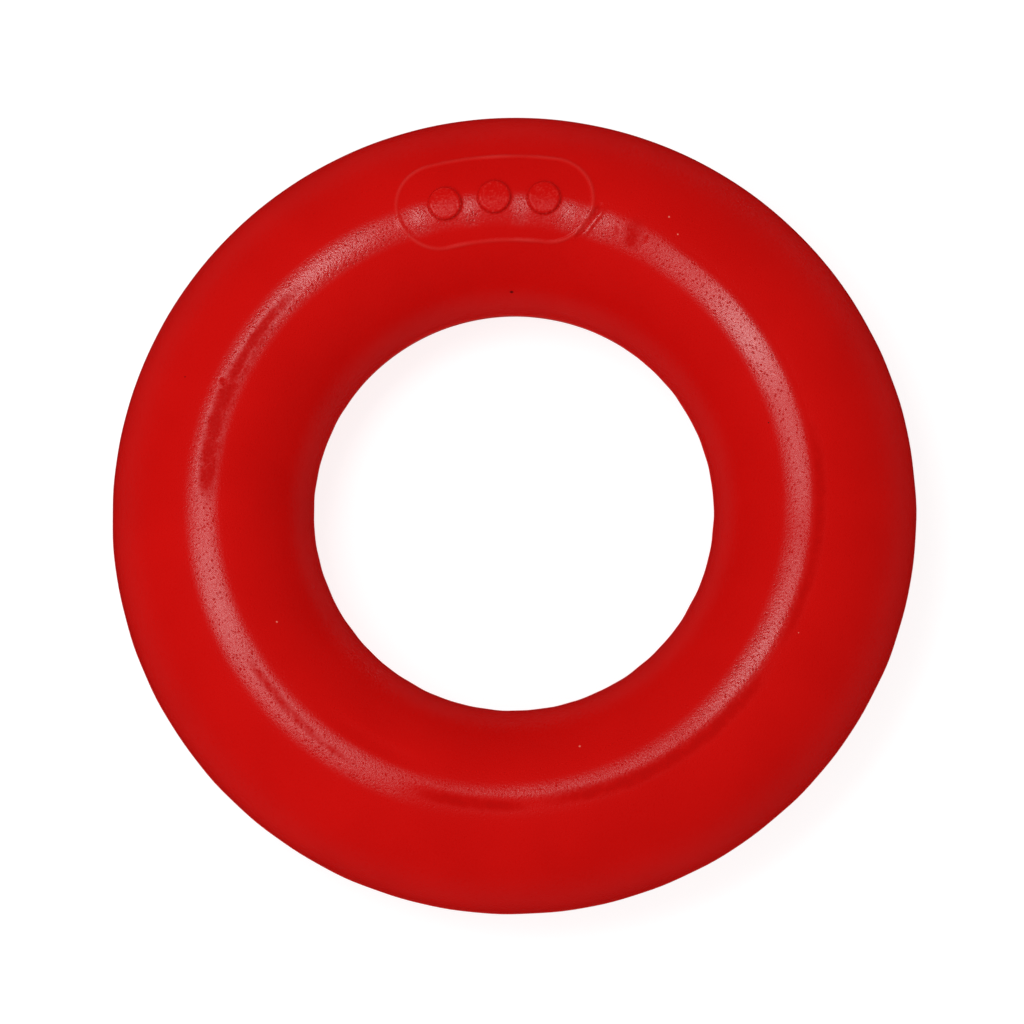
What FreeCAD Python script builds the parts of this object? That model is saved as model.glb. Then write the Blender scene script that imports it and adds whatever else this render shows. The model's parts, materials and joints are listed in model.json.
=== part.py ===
"""A finger exerciser: one solid rubber ring, squeezed in the hand or stretched open by the fingers.

The ring is a torus lying flat. Its axis is +Z, and the origin is under its centre, on the surface that
it lies on. It is compression moulded between two plates that meet at the equator of the tube, so a fine
trimmed land runs round the outside of the ring and round its hole. The engraving of the top plate leaves
a raised mark on the crest, on the +Y side: a row of dots in a curved frame with round ends. The plates
part along Z, so the walls of everything raised are vertical.
"""
import FreeCAD, Part
import math
import os
import Sketcher
from FreeCAD import Vector

OUTPUT_FOLDER = "parts"

# Driving dimensions, in millimetres and degrees.
DIMENSIONS = {
    "outer_diameter": 70,
    "hole_diameter": 35,
    "land_width": 0.5,
    "land_height": 0.1,
    "frame_end_angle": 10.6,
    "frame_width": 7.6,
    "frame_line_width": 0.3,
    "frame_line_height": 0.12,
    "dot_diameter": 2.8,
    "dot_height": 0.3,
    "dot_edge_radius": 0.1,
    "dot_pitch_angle": 9.4,
}
DOTS_EACH_SIDE = 1  # of the dot in the middle

# The two radii of the torus, as expressions to bind sizes to and as numbers to draw sketches with.
TUBE_RADIUS = "(dimensions.outer_diameter - dimensions.hole_diameter) / 4"
RING_RADIUS = "(dimensions.outer_diameter + dimensions.hole_diameter) / 4"
tube_radius = (DIMENSIONS["outer_diameter"] - DIMENSIONS["hole_diameter"]) / 4
ring_radius = (DIMENSIONS["outer_diameter"] + DIMENSIONS["hole_diameter"]) / 4

UP = Vector(0, 0, 1)
ROOT = (-1, 1)  # a sketch's own origin, as a constraint names it
START, END, CENTRE = 1, 2, 3  # the points of an arc, as a constraint names them

doc = FreeCAD.newDocument("finger_exerciser")


def make_sheet():
    """The spreadsheet of driving dimensions, each in a cell with an alias of its own."""
    sheet = doc.addObject("Spreadsheet::Sheet", "dimensions")
    for row, (alias, number) in enumerate(DIMENSIONS.items(), start=1):
        sheet.set(f"A{row}", alias)
        sheet.set(f"B{row}", str(number))
        sheet.setAlias(f"B{row}", alias)
    doc.recompute()


def add(kind, label, **expressions):
    """An object of the document with properties bound to expressions. Two underlines stand for a dot."""
    feature = doc.addObject(kind, label)
    feature.Label = label
    for name, expression in expressions.items():
        feature.setExpression(name.replace("__", "."), expression)
    return feature


def fuse(label, *pieces):
    """The pieces as one."""
    fusion = add("Part::MultiFuse", label)
    fusion.Shapes = list(pieces)
    return fusion


def combine(kind, label, base, tool):
    """A cut or a common of two objects."""
    result = add(kind, label)
    result.Base = base
    result.Tool = tool
    return result


def sketch_on(body, plane_role, label):
    """An empty sketch on one of the body's own origin planes."""
    sketch = body.newObject("Sketcher::SketchObject", label)
    plane = next(f for f in body.Origin.OriginFeatures if f.Role == plane_role)
    sketch.AttachmentSupport = [(plane, "")]
    sketch.MapMode = "FlatFace"
    return sketch


def size(sketch, kind, *places, drawn, bound):
    """A dimension of a sketch: the number that it is drawn at, and the expression that it is bound to."""
    number = sketch.addConstraint(Sketcher.Constraint(kind, *places, drawn))
    sketch.setExpression(f"Constraints[{number}]", bound)


def make_tube():
    """The rubber of the ring without its land and its mark: a circle turned about the axis."""
    body = add("PartDesign::Body", "tube")
    section = sketch_on(body, "XZ_Plane", "tube_section")
    circle = section.addGeometry(Part.Circle(Vector(ring_radius, tube_radius, 0), UP, tube_radius))
    size(section, "Radius", circle, drawn=tube_radius, bound=TUBE_RADIUS)
    size(section, "DistanceX", *ROOT, circle, CENTRE, drawn=ring_radius, bound=RING_RADIUS)
    size(section, "DistanceY", *ROOT, circle, CENTRE, drawn=tube_radius, bound=TUBE_RADIUS)
    turn = body.newObject("PartDesign::Revolution", "tube_turn")
    turn.Profile = section
    turn.ReferenceAxis = (section, ["V_Axis"])
    turn.Angle = 360
    return body


def make_land():
    """A washer at the equator. Its rims stand out of the tube, outside the ring and inside its hole."""
    disc, hole = (
        add(
            "Part::Cylinder",
            label,
            Radius=radius,
            Height="dimensions.land_width",
            Placement__Base__z=f"{TUBE_RADIUS} - dimensions.land_width / 2",
        )
        for label, radius in (
            ("land_disc", "dimensions.outer_diameter / 2 + dimensions.land_height"),
            ("land_hole", "dimensions.hole_diameter / 2 - dimensions.land_height"),
        )
    )
    return combine("Part::Cut", "land", disc, hole)


def trim_to_height(label, columns, height):
    """The part of some upright columns within a height of the tube's surface."""
    envelope = add(
        "Part::Torus",
        f"{label}_envelope",
        Radius1=RING_RADIUS,
        Radius2=f"{TUBE_RADIUS} + {height}",
        Placement__Base__z=TUBE_RADIUS,
    )
    return combine("Part::Common", label, columns, envelope)


def draw_frame_loop(sketch, half_width, half_width_bound):
    """A closed loop along the crest: two arcs about the ring's axis and a round end at each side."""
    spread = math.radians(DIMENSIONS["frame_end_angle"])
    right_angle, left_angle = math.pi / 2 - spread, math.pi / 2 + spread

    def arc(centre, radius, start, end):
        return sketch.addGeometry(Part.ArcOfCircle(Part.Circle(centre, UP, radius), start, end))

    def crest(angle):
        return Vector(ring_radius * math.cos(angle), ring_radius * math.sin(angle), 0)

    outer = arc(Vector(), ring_radius + half_width, right_angle, left_angle)
    inner = arc(Vector(), ring_radius - half_width, right_angle, left_angle)
    right = arc(crest(right_angle), half_width, right_angle - math.pi, right_angle)
    left = arc(crest(left_angle), half_width, left_angle, left_angle + math.pi)

    for concentric in (outer, inner):
        sketch.addConstraint(Sketcher.Constraint("Coincident", concentric, CENTRE, *ROOT))
    for joint in (
        (outer, START, right, END),
        (outer, END, left, START),
        (inner, START, right, START),
        (inner, END, left, END),
    ):
        sketch.addConstraint(Sketcher.Constraint("Tangent", *joint))

    outer_bound = f"{RING_RADIUS} + {half_width_bound}"
    inner_bound = f"{RING_RADIUS} - {half_width_bound}"
    size(sketch, "Radius", outer, drawn=ring_radius + half_width, bound=outer_bound)
    size(sketch, "Radius", inner, drawn=ring_radius - half_width, bound=inner_bound)
    for end in ((*ROOT, right, CENTRE), (left, CENTRE, *ROOT)):
        size(
            sketch,
            "DistanceX",
            *end,
            drawn=ring_radius * math.sin(spread),
            bound=f"{RING_RADIUS} * sin(dimensions.frame_end_angle * 1deg)",
        )


def make_frame_line():
    """The fine raised line round the mark, padded from the equator up through the crest."""
    body = add("PartDesign::Body", "frame_column", Placement__Base__z=TUBE_RADIUS)
    outline = sketch_on(body, "XY_Plane", "frame_outline")
    half_width = DIMENSIONS["frame_width"] / 2
    line_width = DIMENSIONS["frame_line_width"]
    draw_frame_loop(outline, half_width, "dimensions.frame_width / 2")
    draw_frame_loop(
        outline,
        half_width - line_width,
        "(dimensions.frame_width / 2 - dimensions.frame_line_width)",
    )
    rise = body.newObject("PartDesign::Pad", "frame_rise")
    rise.Profile = outline
    rise.setExpression("Length", f"2 * {TUBE_RADIUS}")
    return trim_to_height("frame_line", body, "dimensions.frame_line_height")


def make_dots():
    """The raised dots, evenly spaced along the crest about the +Y direction."""
    columns = []
    for place in range(-DOTS_EACH_SIDE, DOTS_EACH_SIDE + 1):
        turn = f"({place} * dimensions.dot_pitch_angle * 1deg)"
        columns.append(
            add(
                "Part::Cylinder",
                f"dot_column_{place + DOTS_EACH_SIDE + 1}",
                Radius="dimensions.dot_diameter / 2",
                Height=f"2 * {TUBE_RADIUS}",
                Placement__Base__x=f"{RING_RADIUS} * sin{turn}",
                Placement__Base__y=f"{RING_RADIUS} * cos{turn}",
                Placement__Base__z=TUBE_RADIUS,
            )
        )
    return trim_to_height("dots", fuse("dot_columns", *columns), "dimensions.dot_height")


def top_edges_of_dots(shape):
    """The numbers of the edges where the tops of the dots meet their walls."""
    top_radius = tube_radius + DIMENSIONS["dot_height"]
    tolerance = DIMENSIONS["dot_height"] / 100

    def at_top(point):
        across = math.hypot(point.x, point.y) - ring_radius
        return abs(math.hypot(across, point.z - tube_radius) - top_radius) < tolerance

    return [
        number
        for number, edge in enumerate(shape.Edges, start=1)
        if all(at_top(point) for point in edge.discretize(8))
    ]


def round_dots(moulding, label):
    """The moulding with the top edges of its dots rounded."""
    doc.recompute()
    radius = DIMENSIONS["dot_edge_radius"]
    fillet = add("Part::Fillet", label)
    fillet.Base = moulding
    fillet.Edges = [(number, radius, radius) for number in top_edges_of_dots(moulding.Shape)]
    return fillet


def check_document():
    """Stops if any object of the document failed."""
    doc.recompute()
    failed = [feature.Label for feature in doc.Objects if {"Invalid", "Error"} & set(feature.State)]
    if failed:
        raise SystemExit(f"these objects failed: {failed}")


def check_shape(sub_part):
    """Stops if a sub-part isn't one valid solid."""
    shape = sub_part.Shape
    if shape.isNull() or not shape.isValid() or len(shape.Solids) != 1:
        raise SystemExit(f"{sub_part.Label} isn't one valid solid")


make_sheet()
moulding = fuse("moulding", make_tube(), make_land(), make_frame_line(), make_dots())
sub_parts = [round_dots(moulding, "grip_ring")]

check_document()
for sub_part in sub_parts:
    check_shape(sub_part)

os.makedirs(OUTPUT_FOLDER, exist_ok=True)
for sub_part in sub_parts:
    sub_part.Shape.exportStep(os.path.join(OUTPUT_FOLDER, f"{sub_part.Label}.step"))
    print(f"{sub_part.Label}: {sub_part.Shape.Volume:.1f} mm3")
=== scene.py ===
import json
import math

import bpy
import numpy as np
from mathutils import Matrix, Vector

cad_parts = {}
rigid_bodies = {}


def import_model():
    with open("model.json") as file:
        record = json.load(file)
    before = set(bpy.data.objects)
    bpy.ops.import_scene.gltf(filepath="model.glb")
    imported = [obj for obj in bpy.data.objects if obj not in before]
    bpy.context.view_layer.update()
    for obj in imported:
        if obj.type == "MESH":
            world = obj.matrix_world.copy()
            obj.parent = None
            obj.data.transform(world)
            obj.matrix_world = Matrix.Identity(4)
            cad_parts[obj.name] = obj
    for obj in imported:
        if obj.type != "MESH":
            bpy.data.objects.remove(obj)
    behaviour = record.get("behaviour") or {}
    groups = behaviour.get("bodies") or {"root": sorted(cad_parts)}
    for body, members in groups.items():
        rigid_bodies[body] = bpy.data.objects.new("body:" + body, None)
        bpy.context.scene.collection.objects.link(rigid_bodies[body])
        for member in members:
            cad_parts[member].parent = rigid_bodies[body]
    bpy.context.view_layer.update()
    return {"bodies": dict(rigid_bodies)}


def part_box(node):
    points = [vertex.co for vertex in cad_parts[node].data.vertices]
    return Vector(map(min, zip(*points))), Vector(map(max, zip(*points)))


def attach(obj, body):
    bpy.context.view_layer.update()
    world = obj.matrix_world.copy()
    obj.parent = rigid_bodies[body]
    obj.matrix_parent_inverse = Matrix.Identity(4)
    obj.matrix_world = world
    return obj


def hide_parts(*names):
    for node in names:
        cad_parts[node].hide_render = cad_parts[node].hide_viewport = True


# A finger exerciser: one ring of deep red rubber on a pale floor, seen from nearly overhead.
# The ring is a torus with relief on its tube: what the mould gave it and what use has worn into it.
# Lengths are in metres. A bearing is an angle about the ring's axis in degrees, clockwise from the
# raised mark as seen from above. An offset is a length round the tube from its crest, outwards.

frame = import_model()

MM = 0.001
RING_NODE = "grip_ring"
BODY = next(iter(frame["bodies"]))

# The torus, from the box of the CAD ring.
LAND_HEIGHT = 0.1 * MM
DOT_HEIGHT = 0.3 * MM
lowest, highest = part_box(RING_NODE)
TUBE_RADIUS = (highest.z - lowest.z - DOT_HEIGHT) / 2
RING_RADIUS = (highest.x - lowest.x) / 2 - LAND_HEIGHT - TUBE_RADIUS
ROUND_TUBE = 2 * math.pi * TUBE_RADIUS

# The raised mark: a row of dots in a curved frame with round ends.
DOT_BEARINGS = (-9.4, 0, 9.4)
DOT_RADIUS = 1.4 * MM
DOT_WALL = 0.25 * MM
LINE_HEIGHT = 0.12 * MM
LINE_WIDTH = 0.22 * MM
LINE_END_BEARING = 10.6
LINE_HALF_SPAN = 3.8 * MM

# The trimmed land, where the plates of the mould met.
LAND_WIDTH = 0.5 * MM
LAND_WALL = 0.09 * MM

# What has marked the crest. A row is start, end, half width, depth, dull and fade. Each scar runs straight
# from one (bearing, offset) to another, in degrees and millimetres. Its half width, depth and fade are in
# millimetres, and a depth below 0 stands up. Dull goes from 0 to 1. The first eight are dull streaks that
# use has worn along the crest. Then come a slash, its lifted edge and a burr at its end, a nick, a dull
# break, a bump, a notch, and a shallow dent.
SCARS = (
    ((82, 0.20), (120, 0.10), 0.80, 0.030, 0.75, 6.0),
    ((130, 0.15), (174, 0.05), 1.00, 0.035, 0.90, 6.0),
    ((181, 0.25), (199, 0.25), 0.85, 0.035, 0.80, 5.0),
    ((214, 0.30), (226, 0.20), 0.50, 0.010, 0.35, 3.0),
    ((222, 0.12), (240, 0.12), 0.65, 0.020, 0.50, 4.0),
    ((275, -0.10), (298, -0.15), 1.15, 0.035, 1.00, 5.0),
    ((290, -0.10), (315, -0.35), 0.80, 0.030, 0.85, 6.0),
    ((276, -0.75), (312, -0.80), 0.75, 0.000, 0.45, 6.0),
    ((20.0, 0.3), (17.0, -3.0), 0.32, 0.120, 0.80, 0.6),
    ((21.0, 0.0), (18.4, -2.9), 0.30, -0.045, 0.00, 0.6),
    ((16.4, -3.2), (18.6, -2.3), 0.34, -0.070, 0.00, 0.4),
    ((24.4, -1.0), (25.2, -1.8), 0.35, 0.015, 0.45, 0.6),
    ((27.2, 0.0), (28.8, -2.2), 1.25, 0.020, 0.75, 1.4),
    ((30.1, -0.9), (30.4, -1.3), 0.35, -0.050, 0.20, 0.3),
    ((295.3, 0.2), (295.7, 0.8), 0.40, 0.080, 0.90, 0.3),
    ((203, -2.2), (223, -2.2), 1.10, 0.080, 0.00, 5.0),
)

# A low step just inside the crest, from one bearing to the other, outside which the rubber has sunk.
STEP_BEARINGS = (32, 205)
STEP_DROP = 0.05 * MM
STEP_START = -0.70 * MM
STEP_WIDTH = 0.9 * MM
STEP_RECOVERY = 3.5 * MM
STEP_FADE = 7.0  # degrees

# Handling has given the crest a band of polish, which swings from one side of it to the other.
# Along the band the colour is painted light: darkened where the key light's highlight lies, flecked pink as
# painted glints, and dotted dark as painted shade in its pits.
POLISH_MIDDLE = -0.65 * MM
POLISH_SWING = 1.05 * MM
POLISH_OUTERMOST = -115  # bearing
POLISH_HALF_WIDTH = 0.87 * MM

# How glossy the surface is, from 0 to 1: one value in the band of polish and another outside it, and more
# or less in patches of the band, each with its bearing, its half width in degrees and its amount. In the
# gaps beside and between the dots the band is glossier. The dots' walls are glossier and their tops duller.
GLOSS = 0.41
SIDE_GLOSS = 0.03
GLOSS_PATCHES = (
    (-164, 20, -0.22),
    (-106, 22, 0.14),
    (-75, 16, 0.12),
    (-52, 16, 0.30),
    (-35, 16, 0.70),
    (3, 20, -0.25),
    (20.5, 5, 0.35),
    (30, 7, -0.12),
    (58, 18, 0.45),
    (100, 9, -0.12),
    (129, 22, 0.39),
)
GAP_BEARINGS = (-15, -5, 5, 14.5)
GAP_HALF_WIDTH = 2.6
GAP_GLOSS = 0.6
WALL_GLOSS = 0.3
DOT_GLOSS = -0.1

# Specks caught in the rubber: bearing, tilt round the tube from the crest, and radius.
PALE_SPECKS = (
    (-114.8, -24, 0.10 * MM),
    (35.4, 4.6, 0.09 * MM),
    (32.4, 11, 0.10 * MM),
    (168, -28, 0.11 * MM),
    (119, 6, 0.08 * MM),
)
DARK_SPECKS = ((3, -60, 0.20 * MM), (-66, 26, 0.08 * MM), (77, -22, 0.08 * MM))

# The rubber's colours: its two main shades, what its marks are mixed with, and the colours of its painted
# light and shade.
DEEP_RED = (0.485, 0.0031, 0.0024, 1)
BRIGHT_RED = (0.513, 0.0036, 0.0028, 1)
# Painted shade along the band, where the key light's highlight lies.
UNDER_HIGHLIGHT_RED = (0.36, 0.0025, 0.0018, 1)
# Pink flecks painted along the band as glints of the highlight.
GLINT_PINK = (0.60, 0.06, 0.055, 1)
# Dark dots painted in the band's pits as their shade.
PIT_SHADE_RED = (0.20, 0.003, 0.002, 1)
WORN_RED = (0.40, 0.0035, 0.0030, 1)
# Painted shade round the feet of the dots.
DOT_FOOT_SHADE_RED = (0.20, 0.004, 0.003, 1)
DOT_RED = (0.66, 0.05, 0.04, 1)
RAISED_RED = (0.64, 0.06, 0.05, 1)
PALE_SPECK = (0.70, 0.16, 0.12, 1)
DARK_SPECK = (0.10, 0.002, 0.002, 1)

# How high the grain's bump is.
GRAIN_HEIGHT = 0.017 * MM

# The ring isn't a perfect torus: the height of its broad unevenness.
UNEVENNESS = 0.012 * MM

# The mesh: how many columns run round the ring and rows round the tube.
COLUMNS = 446
ROWS = 214


def smoothstep(x):
    """0 up to 0, 1 from 1, and a smooth rise between."""
    x = np.clip(x, 0, 1)
    return x * x * (3 - 2 * x)


def hump(x):
    """1 at 0, falling smoothly to 0 at 1 and at -1."""
    return smoothstep(1 - np.abs(x))


def wrapped(x, period):
    """x moved by whole periods to lie within half a period of 0."""
    return (x + period / 2) % period - period / 2


def graded(period, count, zones):
    """Places round a closed length, closer together in zones of (middle, half width, extra density)."""
    place = np.linspace(0, period, 40001)
    density = np.ones_like(place)
    for middle, half_width, extra in zones:
        density += extra * smoothstep(2 - np.abs(wrapped(place - middle, period)) / half_width)
    amount = np.concatenate(([0], np.cumsum(density[1:] + density[:-1])))
    return wrapped(np.interp(np.arange(count) * amount[-1] / count, amount, place), period)


def waves(bearing, seed, orders):
    """A curve that closes on itself round the ring and swings between -1 and 1."""
    draw = np.random.default_rng(seed)
    phases = draw.uniform(0, 2 * math.pi, len(orders))
    return sum(np.cos(np.radians(o * bearing) + p) for o, p in zip(orders, phases)) / len(orders)


def plan_distance(bearing, reach, centre):
    """Distance in plan from the point of the crest at the bearing called centre."""
    apart = np.radians(bearing - centre)
    squared = reach**2 + RING_RADIUS**2 - 2 * reach * RING_RADIUS * np.cos(apart)
    return np.sqrt(np.maximum(squared, 0))


def dots(bearing, reach):
    nearest = np.min([plan_distance(bearing, reach, centre) for centre in DOT_BEARINGS], axis=0)
    return smoothstep((DOT_RADIUS - nearest) / DOT_WALL + 0.5)


def frame_line(bearing, reach):
    from_end = plan_distance(np.abs(bearing), reach, LINE_END_BEARING)
    along = np.abs(bearing) < LINE_END_BEARING
    from_spine = np.where(along, np.abs(reach - RING_RADIUS), from_end)
    return hump((from_spine - LINE_HALF_SPAN + LINE_WIDTH / 2) / LINE_WIDTH)


def land(offset):
    from_equator = np.abs(np.abs(offset) - ROUND_TUBE / 4)
    return smoothstep((LAND_WIDTH / 2 - from_equator) / LAND_WALL + 0.5)


def scar(bearing, offset, start, end, half_width, fade):
    """How much of a scar is at each place, from 0 to 1. Its fade and widths are in millimetres."""
    length_of_degree = math.radians(RING_RADIUS / MM)
    along_ring = wrapped(bearing - start[0], 360) * length_of_degree
    outwards = offset / MM - start[1]
    run = (end[0] - start[0]) * length_of_degree
    rise = end[1] - start[1]
    length = math.hypot(run, rise)
    along = (along_ring * run + outwards * rise) / length
    across = (outwards * run - along_ring * rise) / length
    from_ends = np.minimum(along, length - along)
    return hump(across / half_width) * smoothstep(from_ends / fade + 0.5)


def scars(bearing, offset):
    """How deep the scars are at each place, in metres, and how dull they make it, from 0 to 1."""
    wander = 0.1 * MM * waves(bearing, 3, (7, 11, 18))
    depth = np.zeros_like(bearing)
    dull = np.zeros_like(bearing)
    for start, end, half_width, scar_depth, scar_dull, fade in SCARS:
        amount = scar(bearing, offset - wander, start, end, half_width, fade)
        depth += amount * scar_depth * MM
        dull = np.maximum(dull, amount * scar_dull)
    return depth, dull * (0.9 + 0.1 * waves(bearing, 8, (29, 43, 61)))


def step(bearing, offset):
    """How far the surface has sunk, as a share of the step's drop."""
    start, end = STEP_BEARINGS
    inside = (end - start) / 2 - np.abs(wrapped(bearing - (start + end) / 2, 360))
    down = smoothstep((offset - STEP_START) / STEP_WIDTH)
    back_up = smoothstep(1 - offset / STEP_RECOVERY)
    return down * back_up * smoothstep(inside / STEP_FADE)


def polish(bearing, offset):
    """The band of polish, from 0 outside it to 1 within. The painted light and shade along the crest follow
    it too.
    """
    middle = POLISH_MIDDLE + POLISH_SWING * np.cos(np.radians(bearing - POLISH_OUTERMOST))
    return smoothstep(2 - np.abs(offset - middle) / POLISH_HALF_WIDTH)


def gloss(bearing, band, dot):
    """How glossy the surface is, from 0 for dull to 1 for glossy."""
    patches = sum(
        amount * hump(wrapped(bearing - middle, 360) / half_width)
        for middle, half_width, amount in GLOSS_PATCHES
    )
    gaps = sum(hump((bearing - gap) / GAP_HALF_WIDTH) for gap in GAP_BEARINGS)
    walls = 4 * dot * (1 - dot)
    in_band = band * (GLOSS + patches + GAP_GLOSS * gaps)
    return np.clip(SIDE_GLOSS * (1 - band) + in_band + WALL_GLOSS * walls + DOT_GLOSS * dot, 0, 1)


def unevenness(bearing, offset):
    """The ring's slight unevenness, between about -1 and 1."""
    draw = np.random.default_rng(11)
    total = np.zeros_like(bearing)
    turn, tilt = np.radians(bearing), offset / TUBE_RADIUS
    for _ in range(24):
        round_ring = draw.integers(4, 40)
        round_tube = draw.integers(-9, 10)
        total += np.cos(round_ring * turn + round_tube * tilt + draw.uniform(0, 2 * math.pi))
    return total / 12


def make_ring():
    """The ring's mesh, with the masks that its material reads as attributes."""
    bearings = graded(360.0, COLUMNS, [(7, 19, 4.5), (-64.5, 2, 4.0)])
    offsets = graded(
        ROUND_TUBE,
        ROWS,
        [
            (0, 3.4 * MM, 4.0),
            (ROUND_TUBE / 4, 0.3 * MM, 7.0),
            (-ROUND_TUBE / 4, 0.3 * MM, 7.0),
        ],
    )
    bearing, offset = np.meshgrid(bearings, offsets, indexing="ij")
    turn, tilt = np.radians(bearing), offset / TUBE_RADIUS
    reach = RING_RADIUS + TUBE_RADIUS * np.sin(tilt)
    on_top = np.cos(tilt) > 0

    dot = on_top * dots(bearing, reach)
    line = on_top * frame_line(bearing, reach)
    rim = land(offset)
    depth, dull = scars(bearing, offset)
    strength = 0.7 + 0.3 * waves(bearing + 3 * np.sign(offset), 5, (19, 31, 47))
    raised = DOT_HEIGHT * dot + LINE_HEIGHT * strength * line + LAND_HEIGHT * strength * rim
    sunken = step(bearing, offset)
    sunk = depth + STEP_DROP * sunken
    relief = raised - sunk + UNEVENNESS * unevenness(bearing, offset)

    radius = TUBE_RADIUS + relief
    reach = RING_RADIUS + radius * np.sin(tilt)
    points = np.stack(
        [reach * np.sin(turn), reach * np.cos(turn), TUBE_RADIUS + radius * np.cos(tilt)], axis=-1
    )

    here = np.arange(COLUMNS * ROWS).reshape(COLUMNS, ROWS)
    beside = np.roll(here, -1, axis=0)
    above = np.roll(here, -1, axis=1)
    opposite = np.roll(beside, -1, axis=1)
    triangles = np.stack([here, above, opposite, here, opposite, beside], axis=-1).reshape(-1, 3)
    mesh = bpy.data.meshes.new("rubber_ring")
    mesh.from_pydata(points.reshape(-1, 3).tolist(), [], triangles.tolist())
    mesh.shade_smooth()
    band = polish(bearing, offset) * (1 - sunken)
    masks = {
        "worn": dull,
        "raised": np.maximum(strength * line, rim),
        # Painted shade round the dots' feet, darker on the side towards the hole.
        "dot_foot_shade": hump(3 * dot - 1) * (0.4 + 0.6 * smoothstep(0.5 - offset / (1.5 * MM))),
        "dot": dot,
        "gloss": gloss(bearing, band, dot),
        "band": band,
    }
    for name, mask in masks.items():
        attribute = mesh.attributes.new(name, "FLOAT", "POINT")
        attribute.data.foreach_set("value", mask.ravel().astype(np.float32))
    ring = bpy.data.objects.new("rubber_ring", mesh)
    bpy.context.collection.objects.link(ring)
    return ring


def add_node(tree, kind, inputs=(), **settings):
    """A node with its settings made and its inputs set to values or linked to sockets."""
    node = tree.nodes.new(kind)
    for name, value in settings.items():
        setattr(node, name, value)
    for name, value in dict(inputs).items():
        if isinstance(value, bpy.types.NodeSocket):
            tree.links.new(value, node.inputs[name])
        else:
            node.inputs[name].default_value = value
    return node


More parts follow.
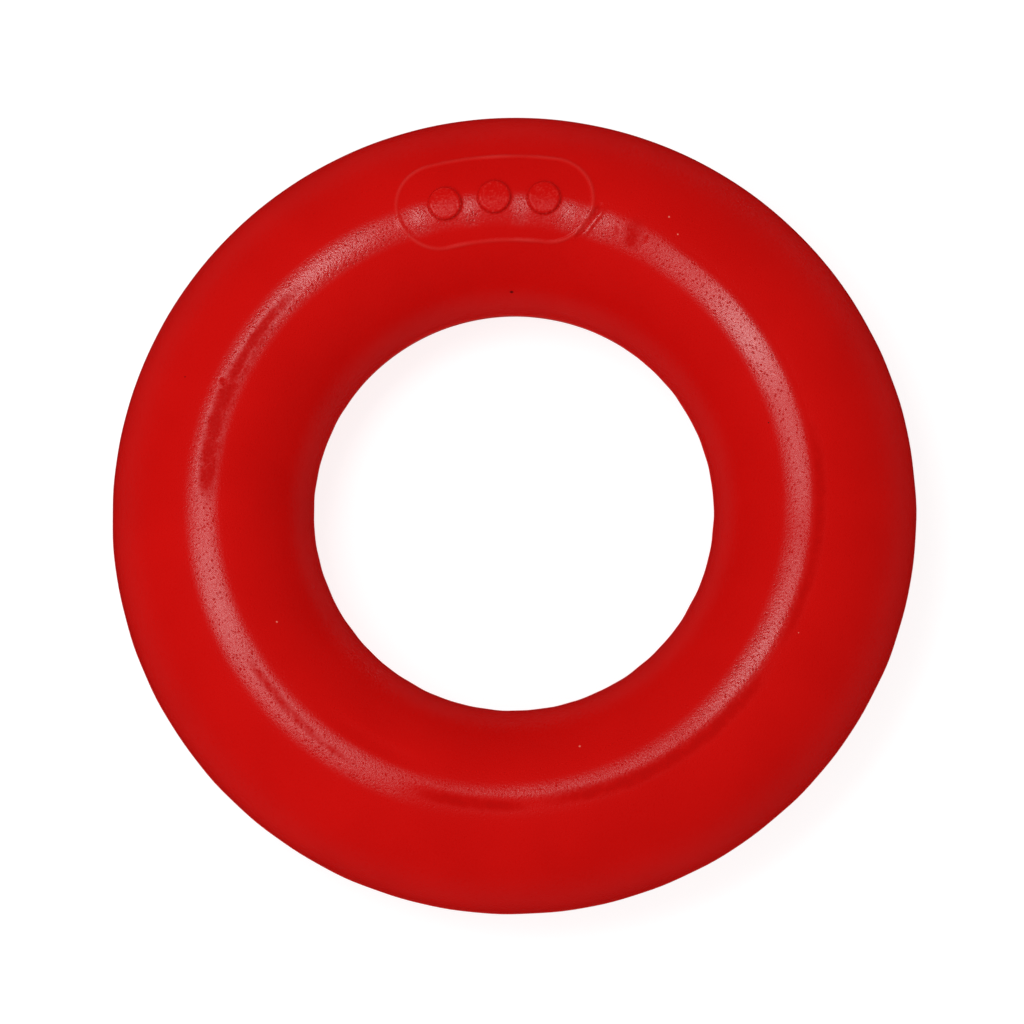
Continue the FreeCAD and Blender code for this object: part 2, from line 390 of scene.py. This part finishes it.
def make_rubber():
    """The rubber's material, which takes its marks from the mesh's masks."""
    material = bpy.data.materials.new("red_rubber")
    material.use_nodes = True
    tree = material.node_tree
    tree.nodes.clear()
    place = add_node(tree, "ShaderNodeTexCoord").outputs["Object"]

    def noise(scale, detail, roughness=0.5):
        inputs = {"Vector": place, "Scale": scale, "Detail": detail, "Roughness": roughness}
        return add_node(tree, "ShaderNodeTexNoise", inputs).outputs["Fac"]

    def ramped(value, low, high, to_low, to_high):
        inputs = {
            "Value": value,
            "From Min": low,
            "From Max": high,
            "To Min": to_low,
            "To Max": to_high,
        }
        return add_node(tree, "ShaderNodeMapRange", inputs).outputs["Result"]

    def mixed(factor, first, second):
        node = add_node(tree, "ShaderNodeMix", {0: factor, 6: first, 7: second}, data_type="RGBA")
        return node.outputs[2]

    def combined(first, second, operation="ADD"):
        inputs = {0: first, 1: second}
        return add_node(tree, "ShaderNodeMath", inputs, operation=operation).outputs["Value"]

    def mask(name):
        return add_node(tree, "ShaderNodeAttribute", attribute_name=name).outputs["Fac"]

    def speck(bearing, tilt, radius):
        turn, lean = math.radians(bearing), math.radians(tilt)
        reach = RING_RADIUS + TUBE_RADIUS * math.sin(lean)
        height = TUBE_RADIUS * (1 + math.cos(lean))
        centre = (reach * math.sin(turn), reach * math.cos(turn), height)
        apart = add_node(tree, "ShaderNodeVectorMath", {0: place, 1: centre}, operation="DISTANCE")
        return ramped(apart.outputs["Value"], 0.5 * radius, radius, 1, 0)

    ragged = combined(mask("worn"), ramped(noise(1300, 4, 0.65), 0.3, 0.7, 0.5, 1.5), "MULTIPLY")
    bare = ramped(ragged, 0.05, 0.85, 0, 1)
    cells = add_node(tree, "ShaderNodeTexVoronoi", {"Vector": place, "Scale": 3600})
    chance = add_node(tree, "ShaderNodeSeparateColor", {"Color": cells.outputs["Color"]}).outputs["Red"]
    from_middle = combined(cells.outputs["Distance"], ramped(chance, 0, 1, 0, 0.4))
    pit = ramped(from_middle, 0.20, 0.50, 1, 0)
    grain = noise(4800, 2, 0.6)

    base = mixed(ramped(noise(130, 3), 0.35, 0.65, 0, 1), DEEP_RED, BRIGHT_RED)
    # Painted light along the band: the base is darkened where the key light's highlight lies.
    highlight_painting = combined(mask("band"), mask("gloss"), "MULTIPLY")
    base = mixed(ramped(highlight_painting, 0, 0.8, 0, 0.27), base, UNDER_HIGHLIGHT_RED)
    highlight_painting = ramped(highlight_painting, 0, 0.6, 0, 1)
    # Pink flecks painted along the band stand in for the highlight's glints.
    painted_glints = combined(highlight_painting, ramped(grain, 0.5, 0.7, 0, 1), "MULTIPLY")
    base = mixed(ramped(painted_glints, 0, 1, 0, 0.55), base, GLINT_PINK)
    # The pits are real dents in the bump; their dark colour is painted shade.
    shaded_pits = combined(highlight_painting, pit, "MULTIPLY")
    base = mixed(ramped(shaded_pits, 0, 1, 0, 0.5), base, PIT_SHADE_RED)
    base = mixed(ramped(bare, 0, 1, 0, 0.8), base, WORN_RED)
    # Painted shade at the dots' feet.
    base = mixed(ramped(mask("dot_foot_shade"), 0, 1, 0, 0.45), base, DOT_FOOT_SHADE_RED)
    dot_grain = combined(mask("dot"), grain, "MULTIPLY")
    base = mixed(ramped(dot_grain, 0.5, 0.7, 0, 0.3), base, DOT_RED)
    base = mixed(ramped(mask("raised"), 0, 1, 0, 0.3), base, RAISED_RED)
    for spot in PALE_SPECKS:
        base = mixed(speck(*spot), base, PALE_SPECK)
    for spot in DARK_SPECKS:
        base = mixed(speck(*spot), base, DARK_SPECK)

    shine = mask("gloss")
    roughness = combined(ramped(shine, 0, 1, 0.28, 0.20), ramped(bare, 0, 1, 0, 0.3))
    specular = combined(ramped(shine, 0, 1, 0.012, 0.27), ramped(bare, 0, 0.6, 1, 0.15), "MULTIPLY")
    specular = combined(specular, ramped(pit, 0, 1, 1.1, 0.4), "MULTIPLY")
    height = combined(grain, ramped(pit, 0, 1, 0, -0.6))
    bump = add_node(tree, "ShaderNodeBump", {"Height": height, "Distance": GRAIN_HEIGHT, "Strength": 1.0})
    shader = add_node(
        tree,
        "ShaderNodeBsdfPrincipled",
        {
            "Base Color": base,
            "Roughness": roughness,
            "Specular IOR Level": specular,
            "Normal": bump.outputs["Normal"],
        },
    )
    add_node(tree, "ShaderNodeOutputMaterial", {"Surface": shader.outputs["BSDF"]})
    return material


# The camera looks down at the ring, tilted a little towards the side away from the mark.
VIEW_DISTANCE = 0.436
VIEW_TILT = 8.8
VIEW_SIDE_TILT = 1.4
VIEW_TURN = 3.2
FIELD_OF_VIEW = 11.7
AIM_LEFT = 0.14 * MM


def axes_at(x_axis, y_axis, z_axis, position):
    """The matrix of an object with those axes at that position."""
    matrix = Matrix((x_axis, y_axis, z_axis)).transposed().to_4x4()
    matrix.translation = position
    return matrix


def make_camera():
    turn = math.radians(VIEW_TURN)
    up = Vector((math.sin(turn), math.cos(turn), 0))
    right = Vector((math.cos(turn), -math.sin(turn), 0))
    away = right * math.sin(math.radians(VIEW_SIDE_TILT)) - up * math.sin(math.radians(VIEW_TILT))
    away.z = math.sqrt(1 - away.length_squared)
    camera_right = up.cross(away).normalized()
    camera_up = away.cross(camera_right)
    data = bpy.data.cameras.new("camera")
    data.angle = math.radians(FIELD_OF_VIEW)
    camera = bpy.data.objects.new("camera", data)
    bpy.context.collection.objects.link(camera)
    aim = Vector((0, 0, TUBE_RADIUS)) - camera_right * AIM_LEFT
    position = aim + away * VIEW_DISTANCE
    camera.matrix_world = axes_at(camera_right, camera_up, away, position)
    bpy.context.scene.camera = camera


# The floor glows a little so that it reaches the world's white, and neither shows in the rubber's gloss.
FLOOR_GREY = 0.28
FLOOR_GLOW = 0.82
WORLD_LIGHT = 0.54
WORLD_SEEN = 1.0


def make_floor():
    bpy.ops.mesh.primitive_circle_add(vertices=96, radius=6.0, fill_type="NGON")
    floor = bpy.context.object
    floor.name = "floor"
    material = bpy.data.materials.new("pale_floor")
    material.use_nodes = True
    shader = material.node_tree.nodes["Principled BSDF"]
    shader.inputs["Base Color"].default_value = (FLOOR_GREY, FLOOR_GREY, FLOOR_GREY, 1)
    shader.inputs["Emission Color"].default_value = (1, 1, 1, 1)
    shader.inputs["Emission Strength"].default_value = FLOOR_GLOW
    shader.inputs["Roughness"].default_value = 0.9
    shader.inputs["Specular IOR Level"].default_value = 0.0
    floor.data.materials.append(material)
    floor.visible_glossy = False


def make_world():
    world = bpy.data.worlds.new("studio")
    bpy.context.scene.world = world
    world.use_nodes = True
    tree = world.node_tree
    tree.nodes.clear()
    path = add_node(tree, "ShaderNodeLightPath")
    seen = add_node(
        tree,
        "ShaderNodeMapRange",
        {"Value": path.outputs["Is Camera Ray"], "To Min": WORLD_LIGHT, "To Max": WORLD_SEEN},
    )
    background = add_node(
        tree,
        "ShaderNodeBackground",
        {"Color": (1, 1, 1, 1), "Strength": seen.outputs["Result"]},
    )
    add_node(tree, "ShaderNodeOutputWorld", {"Surface": background.outputs["Background"]})
    world.cycles_visibility.glossy = False


# Three soft lights. The key is the only one that shows in the rubber's gloss. The fill is a broad wash. The
# glow lies just above the floor inside the ring and adds to what the floor sends up there. The key and the
# fill are placed by their bearings and their tilts from overhead.
KEY_BEARING, KEY_TILT, KEY_DISTANCE = -70, 14, 0.294
KEY_SIDES = (0.125, 0.074)
KEY_TURN = 43
KEY_RADIANCE = 12.3
FILL_BEARING, FILL_TILT = -140, 35
FILL_ANGLE = 80
FILL_STRENGTH = 0.57
GLOW_HEIGHT = 0.2 * MM
GLOW_RADIUS = 15 * MM
GLOW_RADIANCE = 0.55


def make_light(name, kind, bearing, tilt, distance, turn):
    """A light of that kind that faces the ring, turned about its own axis."""
    light = bpy.data.objects.new(name, bpy.data.lights.new(name, kind))
    bpy.context.collection.objects.link(light)
    bearing, tilt, turn = math.radians(bearing), math.radians(tilt), math.radians(turn)
    back = Vector(
        (math.sin(tilt) * math.sin(bearing), math.sin(tilt) * math.cos(bearing), math.cos(tilt))
    )
    side = Vector((0, 1, 0)).cross(back).normalized()
    top = back.cross(side)
    across = side * math.cos(turn) + top * math.sin(turn)
    along = top * math.cos(turn) - side * math.sin(turn)
    light.matrix_world = axes_at(across, along, back, back * distance)
    light.visible_camera = False
    return light


def make_lights():
    key = make_light("key", "AREA", KEY_BEARING, KEY_TILT, KEY_DISTANCE, KEY_TURN)
    key.data.shape = "RECTANGLE"
    key.data.size, key.data.size_y = KEY_SIDES
    key.data.energy = KEY_RADIANCE * math.pi * KEY_SIDES[0] * KEY_SIDES[1]
    fill = make_light("fill", "SUN", FILL_BEARING, FILL_TILT, 1.0, 0)
    fill.data.angle = math.radians(FILL_ANGLE)
    fill.data.energy = FILL_STRENGTH
    fill.visible_glossy = False
    glow = make_light("glow", "AREA", 0, 180, -GLOW_HEIGHT, 0)
    glow.data.shape = "DISK"
    glow.data.size = 2 * GLOW_RADIUS
    glow.data.energy = GLOW_RADIANCE * (math.pi * GLOW_RADIUS) ** 2
    glow.visible_glossy = False


make_camera()
ring = make_ring()
ring.data.materials.append(make_rubber())
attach(ring, BODY)
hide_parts(RING_NODE)
make_floor()
make_world()
make_lights()
bpy.context.scene.view_settings.view_transform = "Standard"
